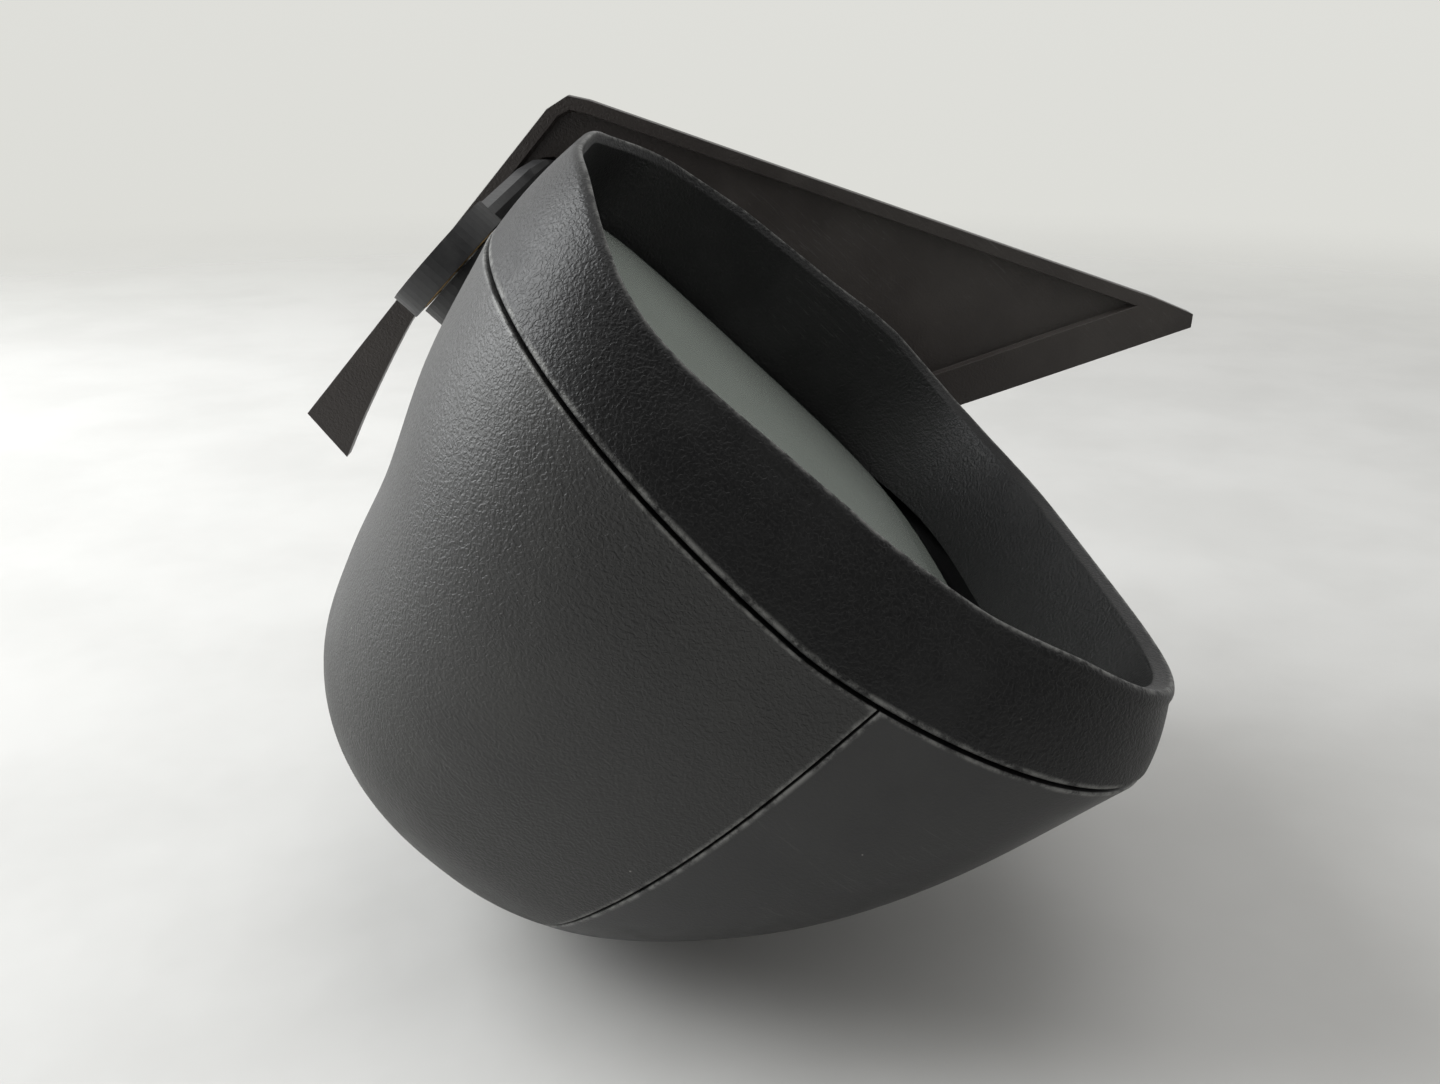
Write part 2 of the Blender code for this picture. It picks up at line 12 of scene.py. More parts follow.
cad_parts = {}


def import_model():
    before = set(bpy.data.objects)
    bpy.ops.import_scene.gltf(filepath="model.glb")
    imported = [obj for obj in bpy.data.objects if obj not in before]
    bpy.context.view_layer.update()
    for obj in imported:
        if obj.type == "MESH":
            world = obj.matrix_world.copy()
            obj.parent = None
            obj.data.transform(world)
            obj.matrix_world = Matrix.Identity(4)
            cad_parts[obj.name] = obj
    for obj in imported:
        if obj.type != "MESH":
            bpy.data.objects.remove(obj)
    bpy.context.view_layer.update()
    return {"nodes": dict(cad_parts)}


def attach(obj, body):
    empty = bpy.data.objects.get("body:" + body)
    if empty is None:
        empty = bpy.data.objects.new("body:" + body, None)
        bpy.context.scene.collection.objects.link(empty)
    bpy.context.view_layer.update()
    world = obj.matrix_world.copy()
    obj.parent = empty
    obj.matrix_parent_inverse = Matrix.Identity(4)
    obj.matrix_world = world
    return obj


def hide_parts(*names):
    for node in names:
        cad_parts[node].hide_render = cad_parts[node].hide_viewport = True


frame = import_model()

MM = 0.001
AROUND = 288            # points round each ring of the head

# ---- the head's loops, as in the CAD, millimetres --------------------------
# y, outboard x, inboard x, bottom z (outboard, inboard), top z (outboard,
# inboard), corner power, rearward sweep at the top and at the bottom.
OPENING = (-16.6, 176.0, 33.0, -48.8, -50.2, 76.0, 56.0, 4.2, 10.0, 6.0)
LIP = (-18.1, 178.5, 30.5, -51.3, -52.6, 80.0, 59.0, 4.2, 10.0, 6.0)
SEAM = (2.6, 184.0, 24.0, -52.0, -52.6, 87.0, 66.0, 3.6, 19.5, 6.5)
FORM = [
    (22.0, 182.5, 24.0, -46.6, -48.6, 79.5, 62.0, 3.3, 6.0, 3.0),
    (41.0, 177.0, 25.0, -38.9, -41.0, 71.5, 56.0, 3.1, 1.5, 0.0),
    (60.0, 167.5, 28.0, -34.0, -35.6, 62.0, 48.0, 2.8, 0.0, 0.0),
    (74.8, 156.5, 34.0, -28.6, -29.8, 52.5, 40.0, 2.5, 0.0, 0.0),
    (85.3, 140.5, 45.0, -19.4, -20.8, 41.0, 30.0, 2.3, 0.0, 0.0),
    (90.9, 116.0, 62.0, -3.4, -5.4, 26.0, 18.0, 2.1, 0.0, 0.0),
]
NOSE = (92.8, 89.0, 10.0)
SEAM_GAP = 0.35
PARTING = [
    (-60.0, 31.4), (0.0, 31.4), (20.0, 30.6), (40.0, 30.3), (60.0, 30.2), (100.0, 30.2),
]
# How far the opening's outboard side bows forward, by its height from -1 to 1.
BOW = [
    (-1.0, 0.0), (-0.9, 2.4), (-0.75, 4.6), (-0.65, 5.2), (-0.55, 5.0), (-0.4, 3.9),
    (-0.26, 2.9), (-0.07, 2.2), (0.09, 2.0), (0.33, 1.8), (0.57, 0.0), (1.0, 0.0),
]
# How far its inboard side bows rearward, by its height.
BOW_IN = [
    (-1.0, 0.0), (-0.97, 0.5), (-0.72, 4.1), (-0.36, 7.2), (0.02, 8.9), (0.3, 8.9),
    (0.44, 8.0), (0.6, 5.5), (0.79, 2.3), (0.91, 0.9), (1.0, 0.4),
]
# Shares of the width where the two bows begin, and over which they fade in.
OUTBOARD_FROM, INBOARD_FROM, BOW_FADE = 0.8, 0.22, 0.17
GLASS = (-4.5, 172.5, 36.5, -45.0, -46.4, 72.5, 52.8, 4.2, 0.0, 0.0)
PANE_CROWN, PANE_DOME = 1.2, 2.6
FOLD = (60.0, 21.0)
BOSS_HOLE_R = 11.8
STUDS = [(-9.0, -30.0), (15.0, -22.0), (-44.0, 46.0)]


# ---- mesh tools ------------------------------------------------------------
def loop(spec, inset=0.0, dy=0.0, bow=0.0):
    """One rounded four-sided loop of the head, as an array of points in mm."""
    y, xo, xi, zbo, zbi, zto, zti, power, sweep_top, sweep_low = spec
    turn = 2 * np.pi * np.arange(AROUND) / AROUND
    c, s = np.cos(turn), np.sin(turn)
    r = (np.abs(c) ** power + np.abs(s) ** power) ** (-1 / power)
    u, v = r * c, r * s
    x = (xo + xi) / 2 + u * ((xo - xi) / 2 - inset)
    k = (x - xi) / (xo - xi)
    low = zbi + (zbo - zbi) * k + inset
    high = zti + (zto - zti) * k - inset
    z = (low + high) / 2 + v * (high - low) / 2
    sweep = np.where(v > 0, sweep_top * np.maximum(v, 0) ** 1.5, sweep_low * v * v * k)
    push = (smooth_table(BOW, v) * ease((k - OUTBOARD_FROM) / BOW_FADE)
            - smooth_table(BOW_IN, v) * ease((INBOARD_FROM - k) / BOW_FADE))
    return np.stack([x, y + dy - sweep + bow * push, z], 1)


def ease(share):
    """Smooth step from 0 to 1."""
    share = np.clip(share, 0.0, 1.0)
    return share * share * (3 - 2 * share)


def smooth_table(table, at, passes=30):
    """Rounded version of a table of straight steps."""
    xs, ys = [p[0] for p in table], [p[1] for p in table]
    fine = np.linspace(xs[0], xs[-1], 401)
    curve = np.interp(fine, xs, ys)
    for _ in range(passes):
        curve[1:-1] = (curve[:-2] + 2 * curve[1:-1] + curve[2:]) / 4
    return np.interp(at, fine, curve)


def unit(v):
    return v / np.maximum(np.linalg.norm(v, axis=-1, keepdims=True), 1e-12)


def mesh_object(name, bm):
    mesh = bpy.data.meshes.new(name)
    bm.to_mesh(mesh)
    bm.free()
    made = bpy.data.objects.new(name, mesh)
    bpy.context.scene.collection.objects.link(made)
    return made


def smooth(mesh):
    for poly in mesh.polygons:
        poly.use_smooth = True


def new_object(name, bm, sharp=38.0):
    """An object with smooth shading, sharp where faces meet at a larger angle."""
    bm.normal_update()
    made = mesh_object(name, bm)
    smooth(made.data)
    made.data.set_sharp_from_angle(angle=math.radians(sharp))
    return made


def cutter(bm):
    face_out(bm)
    return mesh_object("cut", bm)


def carve(target, tools):
    """The target's mesh with the tools cut out of it; the tools are used up."""
    for tool in tools:
        step = target.modifiers.new("cut", "BOOLEAN")
        step.operation, step.solver, step.object = "DIFFERENCE", "EXACT", tool
    deps = bpy.context.evaluated_depsgraph_get()
    mesh = bpy.data.meshes.new_from_object(target.evaluated_get(deps))
    target.modifiers.clear()
    for tool in tools:
        bpy.data.objects.remove(tool)
    return mesh


def grid_bm(rows, closed=False, tip=None, cap=False):
    """Rings of points in mm joined into a skin, in metres."""
    bm = bmesh.new()
    made = [[bm.verts.new(p * MM) for p in row] for row in rows]
    pairs = list(zip(made, made[1:])) + ([(made[-1], made[0])] if closed else [])
    for a, b in pairs:
        n = len(a)
        for i in range(n):
            j = (i + 1) % n
            bm.faces.new((a[i], a[j], b[j], b[i]))
    if tip is not None:
        point = bm.verts.new(Vector(tip) * MM)
        last = made[-1]
        for i in range(len(last)):
            bm.faces.new((last[i], last[(i + 1) % len(last)], point))
    if cap:
        bm.faces.new(made[0])
        bm.faces.new(made[-1])
    return bm


def face_out(bm):
    """Turn all normals outward."""
    bmesh.ops.recalc_face_normals(bm, faces=bm.faces)


def spline(q, a, slope_a, b, slope_b):
    """Cubic from a to b at share q."""
    return ((2 * q ** 3 - 3 * q ** 2 + 1) * a + (q ** 3 - 2 * q ** 2 + q) * slope_a
            + (3 * q ** 2 - 2 * q ** 3) * b + (q ** 3 - q ** 2) * slope_b)


def hermite(knots, points, at):
    """Smooth curve of point arrays through knots, sampled at given places."""
    knots = np.asarray(knots, float)
    points = np.asarray(points, float)
    n = len(knots)
    slope = np.zeros_like(points)
    for k in range(n):
        a, b = max(0, k - 1), min(n - 1, k + 1)
        slope[k] = (points[b] - points[a]) / (knots[b] - knots[a])
    out = []
    for t in at:
        k = int(np.clip(np.searchsorted(knots, t, side="right") - 1, 0, n - 2))
        h = knots[k + 1] - knots[k]
        out.append(spline((t - knots[k]) / h, points[k], h * slope[k],
                          points[k + 1], h * slope[k + 1]))
    return np.array(out)


def parting(y):
    """Height of the line between the two shells, by y."""
    return smooth_table(PARTING, y, 40)


def store(obj, name, values):
    """Keep one number per vertex, for the materials."""
    layer = obj.data.attributes.new(name, "FLOAT", "POINT")
    layer.data.foreach_set("value", np.asarray(values, np.float32))


# ---- the two shells ---------------------------------------------------------
EDGE_R = 0.28           # rounding of the shells' cut edges
SHELL_T = 2.0
HEAD_MIDDLE = Vector((0.1, 0.03, 0.01))
FAR_OFF = 50.0          # stands for a place well away from any edge
# Heights above the parting line where rows are added: the first is the edge.
CUTS = (0.22, 0.26, 0.31, 0.38, 0.46, 0.56, 0.8, 1.2, 1.8)


def shell_rows():
    """The housing's outer skin from its rear edge to just before the nose."""
    rings = [loop(SEAM, dy=SEAM_GAP)] + [loop(s) for s in FORM]
    nose = np.tile(np.array([NOSE[1], NOSE[0], NOSE[2]]), (AROUND, 1))
    mirror = 2 * nose - rings[-1]
    mirror[:, 1] = rings[-1][:, 1]
    rings += [nose, mirror]
    steps = [np.mean(np.linalg.norm(b - a, axis=1)) for a, b in zip(rings, rings[1:])]
    knots = np.concatenate([[0], np.cumsum(steps)])
    end = knots[-2]
    near = [0, 0.04, 0.09, 0.15, 0.22, 0.3, 0.5, 0.8, 1.2, 1.8, 2.6, 3.8]
    at = near + list(np.linspace(5.2, end * 0.985, 84))
    rows = hermite(knots, rings, at)
    return rows, np.array(at)


def shell(name, upper):
    """One half of the housing: cut at the parting line, edges rounded, thickened."""
    rows, at = shell_rows()
    n_rows = len(rows)
    bm = grid_bm(rows, tip=(NOSE[1], NOSE[0], NOSE[2]))
    face_out(bm)
    for label in ("rear", "edge_mm"):
        bm.verts.layers.float.new(label)
    tag, tag_edge = bm.verts.layers.float["rear"], bm.verts.layers.float["edge_mm"]
    bm.verts.ensure_lookup_table()
    for r in range(n_rows):
        for i in range(AROUND):
            bm.verts[r * AROUND + i][tag] = at[r]
    bm.verts[n_rows * AROUND][tag] = 999.0
    if sum(f.normal.dot(f.calc_center_median() - HEAD_MIDDLE) for f in bm.faces) < 0:
        bmesh.ops.reverse_faces(bm, faces=bm.faces)
    # shear so that the parting line is the plane z = 0, then cut
    for v in bm.verts:
        v.co.z -= parting(v.co.y / MM) * MM
    side = 1.0 if upper else -1.0
    for k, c in enumerate(CUTS):
        geom = list(bm.verts) + list(bm.edges) + list(bm.faces)
        bmesh.ops.bisect_plane(bm, geom=geom, dist=1e-7, plane_co=(0, 0, side * c * MM),
                               plane_no=(0, 0, side), clear_inner=(k == 0))
    bmesh.ops.remove_doubles(bm, verts=bm.verts, dist=4e-6)
    bm.verts.ensure_lookup_table()
    bm.verts.index_update()
    cut_d = [side * v.co.z / MM - CUTS[0] for v in bm.verts]
    for v in bm.verts:
        v.co.z += parting(v.co.y / MM) * MM
    bm.normal_update()
    rear = [v[tag] for v in bm.verts]
    normals = [v.normal.copy() for v in bm.verts]
    edge = []
    for k, v in enumerate(bm.verts):
        drop = 0.0
        for d in (max(cut_d[k], 0.0), max(rear[k], 0.0)):
            if d < EDGE_R:
                drop = max(drop, EDGE_R - math.sqrt(EDGE_R ** 2 - (EDGE_R - d) ** 2))
        v.co -= normals[k] * drop * MM
        edge.append(min(max(cut_d[k], 0.0), max(rear[k], 0.0), FAR_OFF))
    outer = list(bm.verts)
    skin = list(bm.faces)
    rims = [e for e in bm.edges if e.is_boundary]
    inner = {v: bm.verts.new(v.co - normals[k] * SHELL_T * MM) for k, v in enumerate(outer)}
    for e in rims:
        order = list(e.link_faces[0].verts)
        a, b = e.verts
        if order[(order.index(a) + 1) % len(order)] == b:
            a, b = b, a
        bm.faces.new((a, b, inner[b], inner[a]))
    for face in skin:
        bm.faces.new([inner[v] for v in reversed(face.verts)])
    for v in bm.verts:
        v[tag_edge] = FAR_OFF
    for k, v in enumerate(outer):
        v[tag_edge] = edge[k]
    bm.verts.layers.float.remove(bm.verts.layers.float["rear"])
    return new_object(name, bm, 50)


def boss_hole(target):
    """The round hole that the pivot boss comes through."""
    bm = bmesh.new()
    radius = BOSS_HOLE_R * MM
    bmesh.ops.create_cone(bm, cap_ends=True, segments=72, radius1=radius, radius2=radius, depth=30 * MM,
                          matrix=Matrix.Translation((FOLD[0] * MM, FOLD[1] * MM, -0.05)))
    target.data = carve(target, [cutter(bm)])


# ---- the frame round the glass ---------------------------------------------
def chaikin(section, times):
    """Round the corners of a closed section; each entry is a ring of points."""
    for _ in range(times):
        nxt = np.roll(section, -1, axis=0)
        section = np.stack([0.75 * section + 0.25 * nxt, 0.25 * section + 0.75 * nxt], 1)
        section = section.reshape(-1, *section.shape[2:])
    return section


def between(a, b, t, bulge=0.0, toward=None):
    """A ring part of the way from a to b, pushed out by up to bulge."""
    p = a + (b - a) * t
    if bulge:
        p = p + toward * bulge * 4 * t * (1 - t)
    return p


def bezel():
    """The frame round the glass: one closed section carried round the opening."""
    inner = loop(OPENING, bow=1.0)
    chamfer = loop(LIP, inset=1.2, dy=-0.35, bow=1.0)
    lip = loop(LIP, inset=0.2, dy=0.6, bow=1.0)
    band = loop(LIP, dy=2.0, bow=1.0)
    seam = loop(SEAM, inset=0.05, dy=-SEAM_GAP - 0.55)
    step = loop(SEAM, inset=0.3, dy=-SEAM_GAP + 0.1)
    deep = loop(SEAM, inset=2.6, dy=-SEAM_GAP)
    tongue = loop(SEAM, inset=3.5, dy=2.0)
    back = loop(OPENING, inset=1.0, dy=21.0)
    centre = np.array([104.0, -5.0, 8.0])
    out = unit((band + seam) / 2 - centre)
    out[:, 1] = 0
    out = unit(out)
    rings = [inner, between(inner, chamfer, 0.3), between(inner, chamfer, 0.7), chamfer, lip, band]
    for t in (0.06, 0.18, 0.34, 0.5, 0.66, 0.82, 0.94):
        rings.append(between(band, seam, t, 0.55, out))
    rings += [seam, step, between(step, deep, 0.5), deep, tongue]
    for t in (0.15, 0.5, 0.85, 0.97):
        rings.append(between(tongue, back, t))
    rings += [back]
    for t in (0.03, 0.2, 0.4, 0.6, 0.8, 0.93, 0.985):
        rings.append(between(back, inner, t))
    section = chaikin(np.array(rings), 2)
    bm = grid_bm(section, closed=True)
    face_out(bm)
    made = new_object("frame_bezel", bm, 60)
    # how far each point of the skin is from the lip and from the seam
    co = np.array([v.co for v in made.data.vertices]).reshape(-1, AROUND, 3) / MM
    d_lip = np.linalg.norm(co - chamfer[None], axis=2)
    d_seam = np.linalg.norm(co - seam[None], axis=2)
    store(made, "edge_mm", np.minimum(np.minimum(d_lip, d_seam + 0.2), FAR_OFF).reshape(-1))
    return made


# ---- the mirror glass -------------------------------------------------------
def glass():
    """Slightly domed first-surface mirror with a ground edge."""
    outer = loop(GLASS)
    mid = np.array([104.5, GLASS[0], 8.4])
    rows = []
    for k in (0.04, 0.12, 0.22, 0.34, 0.46, 0.58, 0.7, 0.8, 0.88, 0.94, 0.975, 0.992):
        row = mid + (outer - mid) * k
        row[:, 1] = GLASS[0] - PANE_CROWN + PANE_DOME * k * k
        rows.append(row)
    for grow, drop in ((0.9975, 0.06), (1.0, 0.3), (1.0, 0.9), (0.995, 1.1)):
        row = mid + (outer - mid) * grow
        row[:, 1] = GLASS[0] - PANE_CROWN + PANE_DOME + drop
        rows.append(row)
    bm = grid_bm(rows, cap=True)
    face_out(bm)
    return new_object("mirror_pane", bm, 30)


# ---- the sail-shaped foot ---------------------------------------------------
def smooth_outline(points, corners, step=1.6):
    """Resample a closed (y, z) outline: straight at its corners, curved elsewhere."""
    pts = np.array(points, float)
    n = len(pts)
    out = []
    for i in range(n):
        p0, p1, p2, p3 = (pts[(i + k - 1) % n] for k in range(4))
        i2 = (i + 1) % n
        length = np.linalg.norm(p2 - p1)
        before, after = np.linalg.norm(p1 - p0), np.linalg.norm(p3 - p2)
        m1 = p2 - p1
        m2 = p2 - p1
        if i not in corners:
            m1 = (p2 - p0) / 2 * length / max(1e-6, (length + before) / 2)
        if i2 not in corners:
            m2 = (p3 - p1) / 2 * length / max(1e-6, (length + after) / 2)
        count = max(1, int(round(length / step)))
        for q in np.arange(count) / count:
            out.append(spline(q, p1, m1, p2, m2))
    return np.array(out)


def slice_at(x, outline):
    """A (y, z) outline as points at one x."""
    return np.stack([np.full(len(outline), x), outline[:, 0], outline[:, 1]], 1)


# Outlines are (y, z) in mm. The neck's rows are x, y from and to, z from and to.
SAIL = [
    (-9.5, -63.3), (84.0, -58.8), (86.0, -44.8), (74.0, -48.6), (53.0, -54.0),
    (40.0, -56.2), (34.0, -54.0), (31.0, -46.0), (29.0, -30.0), (26.0, -5.0),
    (19.0, 18.0), (8.0, 34.5), (-8.0, 46.0), (-26.0, 56.0), (-76.5, 82.5),
    (-79.0, 80.5), (-75.4, 71.0), (-17.6, -57.5), (-15.0, -61.8),
]
SUNK_FACE = [
    (-10.0, -60.7), (27.0, -59.0), (28.6, -46.0), (26.4, -30.0), (23.4, -5.0), (16.6, 16.6),
    (6.5, 31.0), (-12.0, 38.6), (-30.2, 48.0), (-71.5, 69.6), (-15.0, -56.2), (-13.0, -59.6),
]
NECK = [
    (1.0, -3.0, 22.0, -54.5, -40.0), (4.2, -3.0, 22.0, -54.5, -41.0), (9.6, -1.0, 28.0, -58.0, -52.8),
    (15.0, 2.5, 31.0, -59.2, -53.4), (60.0, 9.0, 32.5, -59.2, -53.4),
]


def neck_bm(extra, c=2.0):
    """The neck grown by extra, with corners cut by c."""
    rows = []
    for x, y0, y1, z0, z1 in NECK:
        y0, y1, z0, z1 = y0 - extra, y1 + extra, z0 - extra, z1 + extra
        pts = [(y0 + c, z0), (y1 - c, z0), (y1, z0 + c), (y1, z1 - c), (y1 - c, z1), (y0 + c, z1),
               (y0, z1 - c), (y0, z0 + c)]
        rows.append(np.array([(x, y, z) for y, z in pts]))
    return grid_bm(rows, cap=True)


SAIL_X = (4.3, 9.3)     # back and front of the moulding
SUNK_X = 7.1            # level of the sunk face
WALL_SLOPE = 0.985      # size of the recess at its floor against its mouth
SAIL_BEVEL = 0.8


def sail():
    """Moulded sail: raised border with a sloped inner wall round a sunk face."""
    outline = smooth_outline(SAIL, {0, 1, 2, 14, 15, 16, 17, 18, 5, 6})
    face = smooth_outline(SUNK_FACE, {0, 1, 9, 10, 11})
    centre = face.mean(0)
    made = cutter(grid_bm([slice_at(x, outline) for x in SAIL_X], cap=True))
    recess = [slice_at(SUNK_X, centre + (face - centre) * WALL_SLOPE), slice_at(SAIL_X[1] + 1.1, face)]
    mesh = carve(made, [cutter(grid_bm(recess, cap=True)), cutter(neck_bm(0.5))])
    bpy.data.objects.remove(made)
    mesh.name = "sail_moulding"
    smooth(mesh)
    out = bpy.data.objects.new("sail_moulding", mesh)
    bpy.context.scene.collection.objects.link(out)
    edges = out.modifiers.new("edges", "BEVEL")
    edges.width, edges.segments, edges.limit_method = SAIL_BEVEL * MM, 3, "ANGLE"
    edges.angle_limit = math.radians(32)
    edges.use_clamp_overlap = True
    edges.harden_normals = True
    return out


# The studs' inboard end, radius, thread pitch and depth, in mm.
STUD_END, STUD_R, PITCH = -20.0, 3.0, 1.0
THREAD_DEEP, STUD_AROUND = 0.55, 40


def threaded_stud(k, y, z):
    """M6 stud: rolled thread, plain shank inside the plate and a flat head."""
    turns = [2 * math.pi * i / STUD_AROUND for i in range(STUD_AROUND)]
    rows = []
    for x in np.arange(STUD_END, -1.0, PITCH / 8):
        row = []
        for i, a in enumerate(turns):
            phase = (x / PITCH - i / STUD_AROUND) % 1.0
            r = STUD_R - THREAD_DEEP * abs(2 * phase - 1) - max(0.0, STUD_END + 1.0 - x) * 0.6
            row.append((x, y + r * math.cos(a), z + r * math.sin(a)))
        rows.append(np.array(row))
    # shank, then the head
    for x, r in ((-0.8, 2.95), (2.5, 2.95), (2.5, 4.7), (2.7, 5.0), (3.6, 5.0), (3.88, 4.7)):
        rows.append(np.array([(x, y + r * math.cos(a), z + r * math.sin(a)) for a in turns]))
    bm = grid_bm(rows, cap=True)
    face_out(bm)
    return new_object("stud_%d_threaded" % (k + 1), bm, 35)


WEAR_TONE = (0.21, 0.21, 0.2)


# ---- procedural materials ---------------------------------------------------
class Graph:
    """Small helper round one material's node tree."""

    def __init__(self, name):
        self.mat = bpy.data.materials.new(name)
        self.mat.use_nodes = True
        self.tree = self.mat.node_tree
        self.tree.nodes.clear()
        self.out = self.tree.nodes.new("ShaderNodeOutputMaterial")
        self.shader = self.tree.nodes.new("ShaderNodeBsdfPrincipled")
        self.tree.links.new(self.shader.outputs[0], self.out.inputs[0])
        self.where = self.tree.nodes.new("ShaderNodeTexCoord").outputs["Object"]

    def link(self, value, socket):
        if isinstance(value, bpy.types.NodeSocket):
            self.tree.links.new(value, socket)
        elif value is not None:
            socket.default_value = value

    def math(self, kind, a, b=None, c=None):
        node = self.tree.nodes.new("ShaderNodeMath")
        node.operation = kind
        for value, socket in zip((a, b, c), node.inputs):
            self.link(value, socket)
        return node.outputs[0]

    def stretch(self, scale, turn=(0, 0, 0)):
        node = self.tree.nodes.new("ShaderNodeMapping")
        node.inputs["Scale"].default_value = scale
        node.inputs["Rotation"].default_value = turn
        self.tree.links.new(self.where, node.inputs["Vector"])
        return node.outputs[0]

    def noise(self, scale, detail=2.0, rough=0.5, at=None, distort=0.0):
        node = self.tree.nodes.new("ShaderNodeTexNoise")
        self.tree.links.new(at or self.where, node.inputs["Vector"])
        node.inputs["Scale"].default_value = scale
        node.inputs["Detail"].default_value = detail
        node.inputs["Roughness"].default_value = rough
        node.inputs["Distortion"].default_value = distort
        return node.outputs["Fac"]

    def ramp(self, value, low, high, out_low=0.0, out_high=1.0):
        node = self.tree.nodes.new("ShaderNodeMapRange")
        node.interpolation_type = "SMOOTHSTEP"
        self.link(value, node.inputs["Value"])
        node.inputs["From Min"].default_value = low
        node.inputs["From Max"].default_value = high
        node.inputs["To Min"].default_value = out_low
        node.inputs["To Max"].default_value = out_high
        return node.outputs["Result"]

    def mix(self, share, a, b):
        node = self.tree.nodes.new("ShaderNodeMix")
        node.data_type = "RGBA"
        self.link(share, node.inputs["Factor"])
        for value, socket in ((a, node.inputs[6]), (b, node.inputs[7])):
            self.link((*value, 1.0) if isinstance(value, tuple) else value, socket)
        return node.outputs[2]

    def attribute(self, name):
        node = self.tree.nodes.new("ShaderNodeAttribute")
        node.attribute_name = name
        return node.outputs["Fac"]

    def bump(self, height, distance, under=None):
        node = self.tree.nodes.new("ShaderNodeBump")
        node.inputs["Distance"].default_value = distance
        node.inputs["Strength"].default_value = 1.0
        self.link(height, node.inputs["Height"])
        if under is not None:
            self.tree.links.new(under, node.inputs["Normal"])
        return node.outputs["Normal"]

    def specks(self, scale, share, size=0.18):
        """Sparse small dots: dust and lint."""
        node = self.tree.nodes.new("ShaderNodeTexVoronoi")
        self.tree.links.new(self.where, node.inputs["Vector"])
        node.inputs["Scale"].default_value = scale
        rare = self.ramp(node.outputs["Color"], 1.0 - share - 0.01, 1.0 - share)
        near = self.ramp(node.outputs["Distance"], size, size * 0.5)
        return self.math("MULTIPLY", rare, near)

    def scratches(self, turn, scale=60.0, thin=0.012):
        """Fine straight hairlines in one direction."""
        at = self.stretch((1.0, 26.0, 1.0), turn)
        lines = self.noise(scale, 1.0, 0.4, at)
        line = self.math("ABSOLUTE", self.math("SUBTRACT", lines, 0.5))
        hit = self.ramp(line, thin, thin * 0.3)
        patch = self.ramp(self.noise(scale * 0.35, 2.0), 0.55, 0.68)
        return self.math("MULTIPLY", hit, patch)

    def set(self, **values):
        for name, value in values.items():
            self.link(value, self.shader.inputs[name.replace("_", " ")])
        return self.mat


def plastic(name, dark, dust_tone, rough, grain=1.0, grain_scale=1700.0, edge=False, dusty=0.5,
            ior=1.5, wave=0.0):
    """Moulded black plastic: grain, faint smears, dust, hairlines and worn edges."""
    g = Graph(name)
    broad = g.noise(24.0, 3.0, 0.55)
    cloud = g.noise(85.0, 4.0, 0.6)
    fine = g.noise(grain_scale * 2.4, 2.0, 0.6)
    pebble = g.noise(grain_scale, 1.5, 0.45, distort=0.6)
    smear = g.ramp(g.math("MULTIPLY_ADD", cloud, 0.45, g.math("MULTIPLY", broad, 0.75)), 0.52, 0.78)
    tint = g.mix(g.math("MULTIPLY", smear, dusty), dark, dust_tone)
    tint = g.mix(g.math("MULTIPLY", g.ramp(pebble, 0.58, 0.75), 0.16 * grain), tint, dust_tone)
    dots = g.math("MAXIMUM", g.specks(420.0, 0.035), g.specks(1100.0, 0.02, 0.25))
    lines = g.math("MAXIMUM", g.scratches((0.3, 0.5, 0.9)), g.scratches((1.1, -0.4, 2.2), 44.0))
    tint = g.mix(g.math("MULTIPLY", lines, 0.22), tint, (0.16, 0.16, 0.155))
    tint = g.mix(g.math("MULTIPLY", dots, 0.6), tint, (0.42, 0.41, 0.38))
    worn = None
    if edge:
        near = g.ramp(g.attribute("edge_mm"), 0.95, 0.15)
        torn = g.ramp(g.noise(330.0, 4.0, 0.75), 0.36, 0.62)
        worn = g.math("MULTIPLY", near, torn)
        tint = g.mix(g.math("MULTIPLY", worn, 0.75), tint, WEAR_TONE)
    gloss = g.math("ADD", g.ramp(smear, 0.0, 1.0, rough - 0.03, rough + 0.09),
                   g.ramp(fine, 0.3, 0.7, -0.02, 0.03))
    height = g.math("ADD", g.ramp(pebble, 0.32, 0.68), g.math("MULTIPLY", fine, 0.35))
    normal = g.bump(height, 0.00007 * grain)
    if wave:
        folds = g.noise(760.0, 2.0, 0.5, g.stretch((1.0, 0.7, 1.0)), 0.8)
        normal = g.bump(folds, 0.00010 * wave, under=normal)
    if worn is not None:
        normal = g.bump(g.math("MULTIPLY", worn, -1.0), 0.00006, under=normal)
    return g.set(Base_Color=tint, Roughness=gloss, IOR=ior, Normal=normal)


def metal(name, tone, dull, rough, grain=900.0, spots=(0.12, 0.08, 0.05), spot_share=0.25,
          metallic=1.0):
    """Plated, sintered or painted metal with dull clouds and small spots."""
    g = Graph(name)
    cloud = g.noise(140.0, 5.0, 0.65)
    fine = g.noise(grain, 3.0, 0.6)
    tint = g.mix(g.ramp(cloud, 0.4, 0.7), tone, dull)
    spotted = g.ramp(g.noise(310.0, 5.0, 0.7), 0.6, 0.72)
    tint = g.mix(g.math("MULTIPLY", spotted, spot_share), tint, spots)
    gloss = g.math("ADD", g.ramp(cloud, 0.3, 0.75, rough - 0.06, rough + 0.12),
                   g.ramp(fine, 0.3, 0.7, -0.03, 0.04))
    return g.set(Base_Color=tint, Roughness=gloss, Metallic=metallic, Normal=g.bump(fine, 0.00003))


